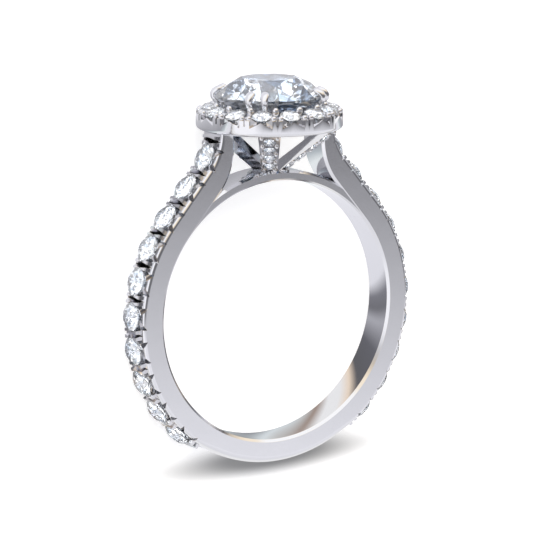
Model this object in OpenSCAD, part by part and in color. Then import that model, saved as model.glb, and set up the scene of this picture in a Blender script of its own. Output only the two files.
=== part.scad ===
// Halo engagement ring in white gold: a round centre stone in four double claws, a round halo of small
// stones, a V-shaped gallery, and a cathedral band set with stones down both sides.
// Everything is drawn with the finger along Y and the head up, then laid down on its side at the end.

/* [Finger hole] */
// Diameter of the hole for the finger
bore_d = 17; // [15.5:0.5:19]
// Bevel on both edges of the finger hole
bore_bevel = 0.16; // [0.08:0.02:0.24]

/* [Band] */
// Width of the band, along the finger
band_w = 2.4; // [2.2:0.1:3]
// Thickness of the band
band_t = 1.55; // [1.4:0.05:1.9]
// Rounding of the outer edges at the plain bottom of the band
back_round = 0.45; // [0.2:0.05:0.6]
// Half of the angle that the rounded bottom takes up
back_half_angle = 34; // [20:1:36]
// Thickness of the inner ring where it bridges the gap under the head
bridge_t = 0.65; // [0.5:0.05:0.8]
// Bevel on the outer edges of that bridge
bridge_bevel = 0.16; // [0.06:0.02:0.2]
// How far the bridge's sides lie in from the band's sides
bridge_inset = 0.05; // [0.02:0.01:0.1]

/* [Shoulders] */
// Angle from the top of the ring at which the shoulders leave the round band
split_angle = 50; // [46:1:54]
// Distance from the middle of the ring to the outer face of a shoulder, just under the halo
shoulder_out = 4.25; // [4.1:0.05:4.35]
// Thickness of a shoulder just under the halo
shoulder_t = 0.8; // [0.6:0.05:1]
// Radius of the bend in a shoulder's outer face
bend_out_r = 3.6; // [2.8:0.1:3.8]
// Radius of the bend in a shoulder's inner face
bend_in_r = 4.3; // [3:0.1:4.6]

/* [Band stones] */
// Diameter of the stones along the band
band_stone_d = 1.85; // [1.5:0.05:1.9]
// Number of stones on the round part of each side
round_stones = 8; // [5:1:8]
// Number of stones on each shoulder
shoulder_stones = 2; // [1:1:2]
// Space from one stone to the next on the round part
band_pitch = 2.2; // [2.1:0.05:2.3]
// Space from one stone to the next on the shoulders
shoulder_pitch = 2.34; // [2.3:0.02:2.4]
// How far the first stone of the round part lies up the shoulder from where that leaves the band
first_stone = 0.12; // [0:0.02:0.3]

/* [Centre stone] */
// Diameter of the centre stone
centre_d = 7; // [6.4:0.1:7.2]
// Height of its girdle above the middle of the finger hole
girdle_z = 13.86; // [13.7:0.02:14.1]
// Diameter of a claw
claw_d = 0.48; // [0.4:0.02:0.56]
// Space between the two claws of a pair, middle to middle
claw_gap = 0.98; // [0.8:0.02:1.1]

/* [Halo] */
// How far the halo's rim reaches out past the edge of the centre stone
halo_reach = 1.23; // [1.15:0.01:1.4]
// Height of the rim's lower edge above the middle of the finger hole
halo_z = 11.8; // [11.6:0.05:12]
// Rounding of the rim's lower edge
halo_round = 0.28; // [0.12:0.02:0.4]
// Diameter of the stones round the halo
halo_stone_d = 1.35; // [1.2:0.05:1.4]
// Number of stones round the halo
halo_stones = 14; // [12:2:14]
// How far the halo's stones lean outwards
halo_lean = 20; // [14:1:24]

/* [Gallery] */
// Angle of a strut from the front of the ring, seen from above
strut_angle = 32; // [28:1:36]
// Width of a strut where it meets the halo
strut_top_w = 1.42; // [1.3:0.02:1.5]
// Width of a strut where it meets the bridge
strut_foot_w = 1.02; // [0.96:0.02:1.1]
// Thickness of a strut
strut_t = 0.62; // [0.5:0.02:0.7]
// Distance of a strut's foot from the middle of the ring
strut_foot = 0.9; // [0.8:0.05:1]
// Diameter of the small stones down each strut
strut_stone_d = 0.84; // [0.7:0.02:0.88]
// Number of stones down each strut
strut_stones = 4; // [2:1:4]

/* [Hidden] */
$fn = 96;

// Gap between a stone and its seat, gap between a claw and a halo stone, how deep a soldered piece reaches
// into its neighbour, and how far a cutter runs past what it cuts
seat_gap = 0.03;
claw_clear = 0.06;
solder = 0.2;
past = 0.3;

// Radii of the round pieces
bore_r = bore_d / 2;
band_r = bore_r + band_t;
bevel_r = bore_r + bore_bevel;
bridge_r = bore_r + bridge_t;
rim_r = centre_d / 2 + halo_reach;

// Proportions of a round brilliant, as shares of its diameter
table_share = 0.54;
crown_share = 0.155;
girdle_share = 0.03;
pavilion_share = 0.43;
star_share = 0.5;
lower_share = 0.78;

// A shoulder's face leaves a circle of radius r, runs straight towards the head, then bends until it
// stands upright at distance x from the middle
function leave(r) = r * [sin(split_angle), cos(split_angle)];
function along(r, t) = leave(r) + t * [-cos(split_angle), sin(split_angle)];
function turn_len(bend) = bend * tan((90 - split_angle) / 2);
function corner_t(r, x) = (leave(r).x - x) / cos(split_angle);
function corner(r, x) = along(r, corner_t(r, x));
function bend_start(r, x, bend) = along(r, corner_t(r, x) - turn_len(bend));
function bend_end(r, x, bend) = corner(r, x) + [0, turn_len(bend)];
function bend_centre(r, x, bend) = bend_end(r, x, bend) + [bend, 0];
function with_mirror(points) = concat(
    points,
    [for (i = [len(points) - 1:-1:0]) [-points[i].x, points[i].y]]);

shoulder_in = shoulder_out - shoulder_t;
bend_top = bend_end(band_r, shoulder_out, bend_out_r).y;
shoulder_top = max(halo_z + solder, bend_top + 0.01);
straight_len = corner_t(band_r, shoulder_out) - turn_len(bend_out_r);

// A place on the band's outer face at distance t up the shoulder from where that leaves the round part:
// its two coordinates, then the angle from the head of the way that the face looks
function on_round(t) =
    let (a = split_angle - t / band_r * 180 / PI) [band_r * sin(a), band_r * cos(a), a];
function on_straight(t) = let (p = along(band_r, t)) [p.x, p.y, split_angle];
function on_bend(t) =
    let (
        a = split_angle + (t - straight_len) / bend_out_r * 180 / PI,
        c = bend_centre(band_r, shoulder_out, bend_out_r))
    [c.x - bend_out_r * sin(a), c.y - bend_out_r * cos(a), a];
function on_band(t) = t < 0 ? on_round(t) : t < straight_len ? on_straight(t) : on_bend(t);

// Distances of the band's stones from the head down, and of the slots between them
side_stones = shoulder_stones + round_stones;
function stone_t(i) = i < shoulder_stones
    ? first_stone + (shoulder_stones - i) * shoulder_pitch
    : first_stone - (i - shoulder_stones) * band_pitch;
slot_ts = concat(
    [stone_t(0) + shoulder_pitch / 2],
    [for (i = [1:side_stones - 1]) (stone_t(i - 1) + stone_t(i)) / 2],
    [stone_t(side_stones - 1) - band_pitch / 2]);

// Setting of the band's stones: height of the girdle over the metal, the four cuts beside each stone, the
// slot between two stones and the raised prongs beside it. A cut starts on the side of the band, at
// notch_side from the middle of the stone, and runs in towards the stone. Its wall is flatter on the
// tooth's side than on the prong's.
band_girdle_z = 0.22;
notch_side = 0.68;
notch_depth = 0.3;
notch_up = 0.1;
notch_len = 0.78;
notch_turn = 22;
notch_dive = 7;
notch_tooth_angle = 42;
notch_prong_angle = 12;
slot_half_angle = 13;
slot_depth = 0.5;
slot_half_len = band_w / 2 - 0.08;
prong_reach = 0.32;
prong_half_len = band_w / 2 - back_round - seat_gap;
prong_up = 0.29;
prong_down = 0.15;

// Halo: the ring that its stones sit on, its sloping top face and the hole under the centre stone
halo_wall = 0.07;
halo_girdle_rise = 1.26;
halo_ring_r = rim_r - halo_wall - halo_stone_d / 2 * cos(halo_lean);
halo_girdle_z = halo_z + halo_girdle_rise;
halo_hole_r = centre_d / 2 - 0.4;
halo_step = 360 / halo_stones;
tooth_sink = 0.03;
tooth_drop = 0.4;
tooth_half_w = 0.54 * halo_stone_d;
tooth_in = rim_r - 0.33;
bead_r = 0.19;
bead_side = 0.23;
bead_up = 0.05;
inner_bead_r = 0.24;
halo_slot_w = 0.1;
halo_slot_h = 0.35;
function halo_face_z(r) = halo_girdle_z + seat_gap + (halo_ring_r - r) * tan(halo_lean);

// Bends in a claw: distance from the middle, then height from the centre stone's girdle
claw_r = claw_d / 2;
claw_bead_r = claw_r + 0.03;
claw_path = [
    [halo_hole_r + 0.1, -1.1],
    [halo_hole_r + 0.12, -0.58],
    [centre_d / 2 + 0.12, 0.04],
    [centre_d / 2 - 0.2, 0.38]];
claw_turn = asin(claw_gap / centre_d);

// Struts: the outer face runs from the foot on the bridge to the underside of the halo
strut_foot_z = bridge_r - 0.05;
strut_head = rim_r - halo_round + 0.03;
strut_slope = atan2(halo_z - strut_foot_z, strut_head - strut_foot);
strut_len = norm([strut_head - strut_foot, halo_z - strut_foot_z]);
strut_pitch = strut_stone_d + 0.2;
strut_tip = strut_head - strut_t / sin(strut_slope);
function strut_w(r) = strut_foot_w
    + (strut_top_w - strut_foot_w) * (r - strut_foot) / (strut_head - strut_foot);

// How the ring lies: on the halo's rim and on the rounded bottom of the band
table_z = girdle_z + centre_d * (girdle_share / 2 + crown_share);
rest_rise = halo_z + halo_round + band_r - back_round;
rest_run = rim_r - halo_round - band_w / 2 + back_round;
lie_angle = atan2(rest_run, rest_rise)
    + asin((halo_round - back_round) / norm([rest_run, rest_rise]));
floor_drop = (band_w / 2 - back_round) * cos(lie_angle) + (band_r - back_round) * sin(lie_angle)
    + back_round;
head_reach = table_z * cos(lie_angle) + centre_d / 2 * table_share * sin(lie_angle);
back_reach = (band_r - back_round) * cos(lie_angle) + (band_w / 2 - back_round) * sin(lie_angle)
    + back_round;

// Lays the upright ring on its side, with the middle of its length over the origin
module lay_down() {
    translate([0, (back_reach - head_reach) / 2, floor_drop])
        rotate([lie_angle - 90, 0, 0])
            children();
}

// Pulls an outline drawn in the plane of the ring out along the finger
module across(w) {
    rotate([90, 0, 0]) linear_extrude(w, center = true) children();
}

module both_sides() {
    children();
    mirror([1, 0, 0]) children();
}

module on_band_at(t) {
    p = on_band(t);
    translate([p[0], 0, p[1]]) rotate([0, p[2], 0]) children();
}

// Round brilliant with its girdle's middle at the origin and its table up
module brilliant(d) {
    r = d / 2;
    table_r = r * table_share;
    top_z = d * (crown_share + girdle_share / 2);
    edge_z = d * girdle_share / 2;
    culet_z = -d * pavilion_share - edge_z;
    crown_rise = (top_z - edge_z) / (r - table_r);
    tip_r = table_r * cos(22.5) + star_share * (r - table_r * cos(22.5));
    tip_z = top_z - (tip_r * cos(22.5) - table_r) * crown_rise;
    low_r = r * (1 - lower_share);
    low_z = culet_z + low_r * cos(22.5) * (-edge_z - culet_z) / r;
    // rows of points: table, star tips, upper girdle, lower girdle, tips of the lower facets, culet
    points = concat(
        [for (k = [0:7]) [table_r * cos(45 * k), table_r * sin(45 * k), top_z]],
        [for (k = [0:7]) [tip_r * cos(45 * k + 22.5), tip_r * sin(45 * k + 22.5), tip_z]],
        [for (k = [0:15]) [r * cos(22.5 * k), r * sin(22.5 * k), edge_z]],
        [for (k = [0:15]) [r * cos(22.5 * k), r * sin(22.5 * k), -edge_z]],
        [for (k = [0:7]) [low_r * cos(45 * k + 22.5), low_r * sin(45 * k + 22.5), low_z]],
        [[0, 0, culet_z]]);
    tip = 8;
    upper = 16;
    lower = 32;
    low = 48;
    culet = 56;
    faces = concat(
        [[for (k = [7:-1:0]) k]],
        [for (k = [0:7]) [k, (k + 1) % 8, tip + k]],
        [for (k = [0:7]) [k, tip + k, upper + 2 * k, tip + (k + 7) % 8]],
        [for (k = [0:7]) [tip + k, upper + 2 * k + 1, upper + 2 * k]],
        [for (k = [0:7]) [tip + k, upper + (2 * k + 2) % 16, upper + 2 * k + 1]],
        [for (k = [0:15]) [upper + k, upper + (k + 1) % 16, lower + (k + 1) % 16, lower + k]],
        [for (k = [0:7]) [low + k, lower + 2 * k, lower + 2 * k + 1]],
        [for (k = [0:7]) [low + k, lower + 2 * k + 1, lower + (2 * k + 2) % 16]],
        [for (k = [0:7]) [culet, low + (k + 7) % 8, lower + 2 * k, low + k]]);
    polyhedron(points, faces);
}

// Small stone with eight facets above and eight below
module eight_cut(d) {
    r = d / 2;
    table_r = r * table_share;
    top_z = d * (crown_share + girdle_share / 2);
    edge_z = d * girdle_share / 2;
    points = concat(
        [for (k = [0:7]) [table_r * cos(45 * k), table_r * sin(45 * k), top_z]],
        [for (k = [0:7]) [r * cos(45 * k), r * sin(45 * k), edge_z]],
        [for (k = [0:7]) [r * cos(45 * k), r * sin(45 * k), -edge_z]],
        [[0, 0, -d * pavilion_share - edge_z]]);
    faces = concat(
        [[for (k = [7:-1:0]) k]],
        [for (k = [0:7]) [k, (k + 1) % 8, 8 + (k + 1) % 8, 8 + k]],
        [for (k = [0:7]) [8 + k, 8 + (k + 1) % 8, 16 + (k + 1) % 8, 16 + k]],
        [for (k = [0:7]) [16 + k, 16 + (k + 1) % 8, 24]]);
    polyhedron(points, faces);
}

// Pocket for a stone whose girdle's middle is at the origin, open above
module seat(d) {
    r = d / 2 + seat_gap;
    edge = d * girdle_share / 2 + seat_gap;
    translate([0, 0, -edge]) cylinder(r = r, h = d / 2 + edge);
    translate([0, 0, -edge - r * 2 * pavilion_share]) cylinder(r1 = 0.02, r2 = r, h = r * 2 * pavilion_share);
}

// Space that a stone takes up, with a gap round it
module stone_space(d, gap) {
    r = d / 2 + gap;
    edge = d * girdle_share / 2 + gap;
    top = d * crown_share + edge;
    rotate_extrude()
        polygon([
            [0, -edge - r * 2 * pavilion_share], [r, -edge], [r, edge], [r * table_share, top],
            [0, top]]);
}

// Outline of the round band with both shoulders, without the finger hole
module band_outline() {
    c = bend_centre(band_r, shoulder_out, bend_out_r);
    difference() {
        circle(band_r);
        polygon(with_mirror([[0, 0], 2 * leave(band_r)]));
    }
    difference() {
        polygon(with_mirror([
            [0, -bore_r / 2], leave(band_r), bend_start(band_r, shoulder_out, bend_out_r), c,
            [shoulder_out, bend_top], [shoulder_out, shoulder_top]]));
        translate(c) circle(bend_out_r);
        translate([-c.x, c.y]) circle(bend_out_r);
    }
}

// Open space between the two shoulders
module shoulder_gap_outline() {
    c = bend_centre(bevel_r, shoulder_in, bend_in_r);
    polygon(with_mirror([
        [0, bore_r / 2], leave(bevel_r), corner(bevel_r, shoulder_in),
        [shoulder_in, shoulder_top + past]]));
    for (side = [-1, 1])
        difference() {
            polygon([for (p = [
                bend_start(bevel_r, shoulder_in, bend_in_r),
                corner(bevel_r, shoulder_in),
                bend_end(bevel_r, shoulder_in, bend_in_r)]) [side * p.x, p.y]]);
            translate([side * c.x, c.y]) circle(bend_in_r);
        }
}

// Whole inner ring, which shows as the bridge between the shoulders
module bridge_ring() {
    side = band_w / 2 - bridge_inset;
    edge = side - bridge_bevel;
    rotate([90, 0, 0])
        rotate_extrude()
            polygon([
                [bore_r - solder, -side], [bridge_r - bridge_bevel, -side], [bridge_r, -edge],
                [bridge_r, edge], [bridge_r - bridge_bevel, side], [bore_r - solder, side]]);
}

// Finger hole with a bevel at each end
module finger_hole() {
    rotate([90, 0, 0]) cylinder(r = bore_r, h = band_w + 2 * past, center = true);
    for (side = [-90, 90])
        rotate([side, 0, 0])
            translate([0, 0, band_w / 2 - bore_bevel])
                cylinder(r1 = bore_r, r2 = bevel_r + past, h = bore_bevel + past);
}

// Rounds both outer edges of the band's plain bottom
module back_rounding() {
    inner = band_r - back_round;
    side = band_w / 2 - back_round;
    rotate([90, 0, 0])
        rotate([0, 0, -90 - back_half_angle])
            rotate_extrude(angle = 2 * back_half_angle)
                for (s = [-1, 1])
                    difference() {
                        translate([inner, s > 0 ? side : -side - back_round - past])
                            square(back_round + past);
                        translate([inner, s * side]) circle(back_round);
                    }
}

// Four V-shaped cuts that bare a band stone's girdle and leave a tooth on each side of it
module fishtail_cuts() {
    rise = notch_depth + notch_up;
    tooth_w = rise * tan(notch_tooth_angle);
    prong_w = rise * tan(notch_prong_angle);
    for (sx = [-1, 1])
        for (sy = [-1, 1])
            translate([sx * notch_side, sy * band_w / 2, -notch_depth])
                rotate([0, 0, atan2(-sy * cos(notch_turn), -sx * sin(notch_turn))])
                    rotate([0, 90 + notch_dive, 0])
                        translate([0, 0, -past])
                            linear_extrude(notch_len + past)
                                polygon([[0, 0], [-rise, -sx * sy * tooth_w], [-rise, sx * sy * prong_w]]);
}

// Spear-shaped slot across the band, cut by a thin wheel with a sharp edge
module slot() {
    wheel_r = (slot_half_len * slot_half_len + slot_depth * slot_depth) / (2 * slot_depth);
    half_w = wheel_r * tan(slot_half_angle);
    translate([0, 0, wheel_r - slot_depth])
        rotate([0, 90, 0]) {
            cylinder(r1 = wheel_r, r2 = 0, h = half_w);
            translate([0, 0, -half_w]) cylinder(r1 = 0, r2 = wheel_r, h = half_w);
        }
}

// Raised metal that a slot and the two stones beside it shape into prongs
module prong_block() {
    translate([-prong_reach, -prong_half_len, -prong_down])
        cube([2 * prong_reach, 2 * prong_half_len, prong_down + prong_up]);
}

module band() {
    difference() {
        union() {
            difference() {
                union() {
                    across(band_w) difference() {
                        band_outline();
                        shoulder_gap_outline();
                    }
                    both_sides() for (t = slot_ts) on_band_at(t) prong_block();
                }
                back_rounding();
                both_sides() {
                    for (i = [0:side_stones - 1])
                        on_band_at(stone_t(i)) {
                            translate([0, 0, band_girdle_z]) seat(band_stone_d);
                            fishtail_cuts();
                        }
                    for (t = slot_ts) on_band_at(t) slot();
                }
            }
            bridge_ring();
        }
        finger_hole();
    }
}

// Puts what is drawn at the front of the head at an angle round it
module round_head(a) {
    rotate([0, 0, a]) children();
}

// Place of one halo stone, its girdle's middle at the origin and its table up
module at_halo_stone(i) {
    round_head((i - 0.5) * halo_step)
        translate([0, -halo_ring_r, halo_girdle_z])
            rotate([halo_lean, 0, 0])
                children();
}

// Cuts the rim above a halo stone so that a pointed tooth stands in the middle of two notches
module halo_tooth_cut() {
    tip_z = halo_face_z(rim_r) - tooth_sink;
    translate([0, -tooth_in, 0])
        rotate([90, 0, 0])
            linear_extrude(rim_r - tooth_in + past)
                polygon(with_mirror([
                    [0, tip_z], [tooth_half_w, tip_z - tooth_drop],
                    [tooth_half_w, tip_z + halo_stone_d]]));
}

// Two beads at the rim and one inside, between two halo stones
module halo_beads() {
    outer = rim_r - bead_r - 0.02;
    inner = halo_hole_r + 0.42;
    for (s = [-1, 1])
        translate([s * bead_side, -outer, halo_face_z(outer) + bead_up]) sphere(bead_r);
    translate([0, -inner, halo_face_z(inner) + bead_up]) sphere(inner_bead_r);
}

module halo() {
    difference() {
        rotate_extrude()
            difference() {
                polygon([
                    [halo_hole_r, halo_z], [rim_r, halo_z], [rim_r, halo_face_z(rim_r)],
                    [halo_hole_r, halo_face_z(halo_hole_r)]]);
                difference() {
                    translate([rim_r - halo_round, halo_z - past])
                        square([halo_round + past, halo_round + past]);
                    translate([rim_r - halo_round, halo_z + halo_round]) circle(halo_round);
                }
            }
        for (i = [1:halo_stones]) {
            at_halo_stone(i) seat(halo_stone_d);
            round_head((i - 0.5) * halo_step) halo_tooth_cut();
            round_head(i * halo_step)
                translate([-halo_slot_w / 2, -rim_r - past, halo_face_z(rim_r) - halo_slot_h])
                    cube([halo_slot_w, rim_r - tooth_in + past, 2 * halo_slot_h]);
        }
    }
    for (i = [1:halo_stones]) round_head(i * halo_step) halo_beads();
}

// One claw, bent outwards under the girdle and in over the crown
module claw() {
    translate([0, 0, girdle_z]) {
        for (i = [1:len(claw_path) - 1]) {
            p = claw_path[i - 1];
            q = claw_path[i];
            translate([0, -p[0], p[1]])
                rotate([atan2(q[0] - p[0], q[1] - p[1]), 0, 0])
                    cylinder(r = claw_r, h = norm(q - p));
            translate([0, -q[0], q[1]]) sphere(i == len(claw_path) - 1 ? claw_bead_r : claw_r * 1.01);
        }
    }
}

// The claws, hollowed where they pass a halo stone
module claws() {
    difference() {
        for (pair = [45:90:315])
            for (s = [-1, 1])
                round_head(pair + s * claw_turn) claw();
        for (i = [1:halo_stones]) at_halo_stone(i) stone_space(halo_stone_d, claw_clear);
    }
}

// Place at distance u up a strut's outer face, looking out of it
module on_strut(u) {
    translate([0, -strut_foot - u * cos(strut_slope), strut_foot_z + u * sin(strut_slope)])
        rotate([180 - strut_slope, 0, 0])
            children();
}

module at_strut_stones() {
    for (i = [0:strut_stones - 1])
        on_strut(strut_len / 2 + (i - (strut_stones - 1) / 2) * strut_pitch) children();
}

module strut() {
    back = strut_t / sin(strut_slope);
    foot = [strut_foot, strut_foot_z] - solder * [cos(strut_slope), sin(strut_slope)];
    rise = solder / tan(strut_slope);
    difference() {
        intersection() {
            rotate([90, 0, -90])
                linear_extrude(2 * strut_top_w, center = true)
                    polygon([
                        foot, [strut_head, halo_z], [strut_head, halo_z + solder],
                        [strut_tip + rise, halo_z + solder], foot - [back, 0]]);
            linear_extrude(halo_z + rim_r)
                polygon([for (p = [[-1, -1], [1, -1], [1, rim_r], [-1, rim_r]])
                    [p[0] * strut_w(p[1]) / 2, -p[1]]]);
        }
        at_strut_stones() seat(strut_stone_d);
    }
}

module at_struts() {
    for (a = [strut_angle, -strut_angle, 180 - strut_angle, 180 + strut_angle])
        round_head(a) children();
}

// All the metal, soldered into one piece
module mounting() {
    color("gainsboro")
        lay_down() {
            band();
            difference() {
                union() {
                    halo();
                    claws();
                }
                translate([0, 0, girdle_z]) stone_space(centre_d, seat_gap);
            }
            at_struts() strut();
        }
}

module centre_stone() {
    color("aliceblue") lay_down() translate([0, 0, girdle_z]) brilliant(centre_d);
}

module halo_stone(i) {
    color("aliceblue") lay_down() at_halo_stone(i) brilliant(halo_stone_d);
}

module band_stone(i) {
    on_band_at(stone_t(i - 1)) translate([0, 0, band_girdle_z]) brilliant(band_stone_d);
}

module right_stone(i) {
    color("aliceblue") lay_down() band_stone(i);
}

module left_stone(i) {
    color("aliceblue") lay_down() mirror([1, 0, 0]) band_stone(i);
}

// The small stones down the four struts
module gallery_stones() {
    color("aliceblue") lay_down() at_struts() at_strut_stones() eight_cut(strut_stone_d);
}

mounting();
centre_stone();
gallery_stones();
for (i = [1:halo_stones])
    halo_stone(i);
for (i = [1:side_stones])
    right_stone(i);
for (i = [1:side_stones])
    left_stone(i);
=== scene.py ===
"""Looks of a halo ring: its metal, its stones and the stage, built round the CAD frame."""

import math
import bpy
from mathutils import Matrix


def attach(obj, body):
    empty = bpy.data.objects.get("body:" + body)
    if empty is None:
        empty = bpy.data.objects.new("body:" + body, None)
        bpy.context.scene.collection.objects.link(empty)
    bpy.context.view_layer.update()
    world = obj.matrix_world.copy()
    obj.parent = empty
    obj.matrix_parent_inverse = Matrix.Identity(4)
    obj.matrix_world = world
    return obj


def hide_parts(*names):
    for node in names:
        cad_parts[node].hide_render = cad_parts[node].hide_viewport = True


bl_info = {
    "name": "Halo ring",
    "version": (1, 0, 0),
    "blender": (4, 5, 0),
    "location": "3D View > Sidebar > Halo ring",
    "description": "Builds the metal, stones and stage of a halo ring round its CAD frame",
    "category": "Object",
}

import bmesh
import bpy
from bpy.props import FloatProperty, FloatVectorProperty, IntProperty, PointerProperty
from mathutils import Matrix, Vector

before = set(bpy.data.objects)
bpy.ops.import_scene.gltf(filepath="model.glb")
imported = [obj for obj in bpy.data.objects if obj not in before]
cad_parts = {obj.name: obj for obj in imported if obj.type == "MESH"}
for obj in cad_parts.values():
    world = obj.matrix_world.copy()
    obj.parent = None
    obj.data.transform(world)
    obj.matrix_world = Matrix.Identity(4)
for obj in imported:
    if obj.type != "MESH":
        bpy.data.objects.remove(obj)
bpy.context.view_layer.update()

MM = 0.001
FULL_TURN = 2 * math.pi
RIGHT_ANGLE = math.pi / 2
WHITE = (1.0, 1.0, 1.0, 1)
BLACK = (0.0, 0.0, 0.0, 1)

# Steps along the round, straight and bent parts of a shoulder's face.
ROUND_STEPS, STRAIGHT_STEPS, BEND_STEPS = 104, 8, 16

# Painted reflection: shades that the floor shows only to reflected rays, so that polished metal picks
# them up as bands, by distance up the ring in millimetres.
PAINTED_REFLECTION_SPAN = (-13.0, 13.0)
PAINTED_REFLECTION_SWAY = 0.8
PAINTED_REFLECTION = (
    (-13.0, (1.0, 1.0, 1.0)), (-11.6, (0.95, 0.95, 1.0)), (-10.9, (0.15, 0.15, 0.17)),
    (-10.2, (0.8, 0.86, 0.88)), (-9.3, (0.4, 0.31, 0.26)), (-8.5, (1.0, 1.0, 1.0)),
    (-7.4, (1.0, 1.0, 1.0)), (-6.5, (1.0, 0.83, 0.66)), (-5.9, (0.14, 0.14, 0.15)),
    (-4.6, (0.16, 0.16, 0.18)), (-3.6, (0.5, 0.5, 0.54)), (-3.1, (0.2, 0.2, 0.22)),
    (-2.5, (0.25, 0.25, 0.28)), (-1.8, (0.9, 0.9, 0.95)), (4.0, (0.92, 0.92, 0.97)),
    (5.2, (0.95, 1.0, 1.0)), (6.2, (0.55, 0.6, 0.63)), (7.5, (0.4, 0.4, 0.43)),
    (9.0, (0.5, 0.5, 0.53)), (12.0, (0.92, 0.92, 0.97)),
)

# The painted contact shadow on the floor where the band's back meets it: its middle and reach in
# millimetres.
PAINTED_SHADOW_AT = (0.6, -12.55, 0)
PAINTED_SHADOW_REACH = (11.0, 1.5, 10)

# The camera: its angle left of the finger and above it, in degrees, its place to the right, up
# and back from the middle of the upright ring, in millimetres, and its lens.
CAMERA_TURN, CAMERA_RISE = 31.86, 10.93
CAMERA_PLACE = (-0.19, 2.68, 180)
CAMERA_LENS = 187.42


def length(name, description, default_mm):
    """A size that Blender keeps in metres."""
    return FloatProperty(
        name=name, description=description, default=default_mm * MM, min=0, precision=5, unit="LENGTH"
    )


def angle(name, description, default_deg):
    return FloatProperty(
        name=name, description=description, default=math.radians(default_deg), subtype="ANGLE"
    )


def colour(name, description, default):
    return FloatVectorProperty(
        name=name, description=description, default=default, size=4, min=0, max=1, subtype="COLOR"
    )


class BandSizes(bpy.types.PropertyGroup):
    bore: length("Finger hole", "Diameter of the hole for the finger", 17.0)
    bore_bevel: length("Bore bevel", "Bevel on both edges of the hole and of the shoulders", 0.16)
    width: length("Width", "Width of the band, along the finger", 2.4)
    thickness: length("Thickness", "Thickness of the band", 1.55)
    back_round: length("Back rounding", "Rounding of the outer edges at the plain back", 0.45)
    back_half_angle: angle("Back half angle", "Half of the angle that the rounded back takes up", 34)
    split_angle: angle("Split angle", "Angle from the head at which the shoulders leave the band", 50)
    shoulder_out: length("Shoulder outside", "From the middle to a shoulder's outer face", 4.25)
    shoulder_thickness: length("Shoulder thickness", "Thickness of a shoulder under the halo", 0.8)
    bend_out: length("Outer bend", "Radius of the bend in a shoulder's outer face", 3.6)
    bend_in: length("Inner bend", "Radius of the bend in a shoulder's inner face", 4.3)
    bridge_thickness: length("Bridge thickness", "Thickness of the inner ring under the head", 0.65)
    bridge_bevel: length("Bridge bevel", "Bevel on the bridge's outer edges", 0.16)
    bridge_inset: length("Bridge inset", "How far the bridge's sides lie in from the band's", 0.05)
    stone: length("Stone", "Diameter of the band's stones", 1.85)
    pitch: length("Pitch", "Space between stones on the round part", 2.2)
    shoulder_pitch: length("Shoulder pitch", "Space between stones on the shoulders", 2.34)
    round_stones: IntProperty(name="Round stones", description="Stones on each round side", default=8)
    shoulder_stones: IntProperty(name="Shoulder stones", description="Stones on a shoulder", default=2)


class HeadSizes(bpy.types.PropertyGroup):
    centre_stone: length("Centre stone", "Diameter of the centre stone", 7.0)
    girdle: length("Girdle height", "Centre stone's girdle above the middle of the hole", 13.86)
    claw: length("Claw", "Diameter of a claw", 0.48)
    claw_gap: length("Claw gap", "Space between the two claws of a pair", 0.98)
    halo: length("Halo", "Diameter of the halo's rim", 9.46)
    halo_height: length("Halo height", "Rim's lower edge above the middle of the hole", 11.8)
    halo_round: length("Rim rounding", "Rounding of the rim's lower edge", 0.28)
    halo_stone: length("Halo stone", "Diameter of the halo's stones", 1.35)
    halo_stones: IntProperty(name="Halo stones", description="Number of halo stones", default=14)
    halo_lean: angle("Halo lean", "How far the halo's stones lean outwards", 20)
    strut_angle: angle("Strut angle", "Angle of a strut from the front of the ring", 32)
    strut_top: length("Strut top", "Width of a strut at the halo", 1.42)
    strut_foot: length("Strut foot", "Width of a strut at the bridge", 1.02)
    strut_thickness: length("Strut thickness", "Thickness of a strut", 0.62)
    strut_stone: length("Strut stone", "Diameter of a strut's stones", 0.84)
    strut_stones: IntProperty(name="Strut stones", description="Stones down a strut", default=4)


class Finish(bpy.types.PropertyGroup):
    gold: colour("White gold", "Colour of the polished metal", (0.80, 0.80, 0.825, 1))
    # Colour of the painted warm reflection along sharp edges.
    warm: colour("Worn edge", "Warm alloy that shows where the plating is thin", (0.90, 0.84, 0.75, 1))
    stone: colour("Stone", "Body colour of the stones", (0.98, 0.985, 1.0, 1))
    floor: colour("Floor", "Colour of the floor", (0.75, 0.75, 0.75, 1))


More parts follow.
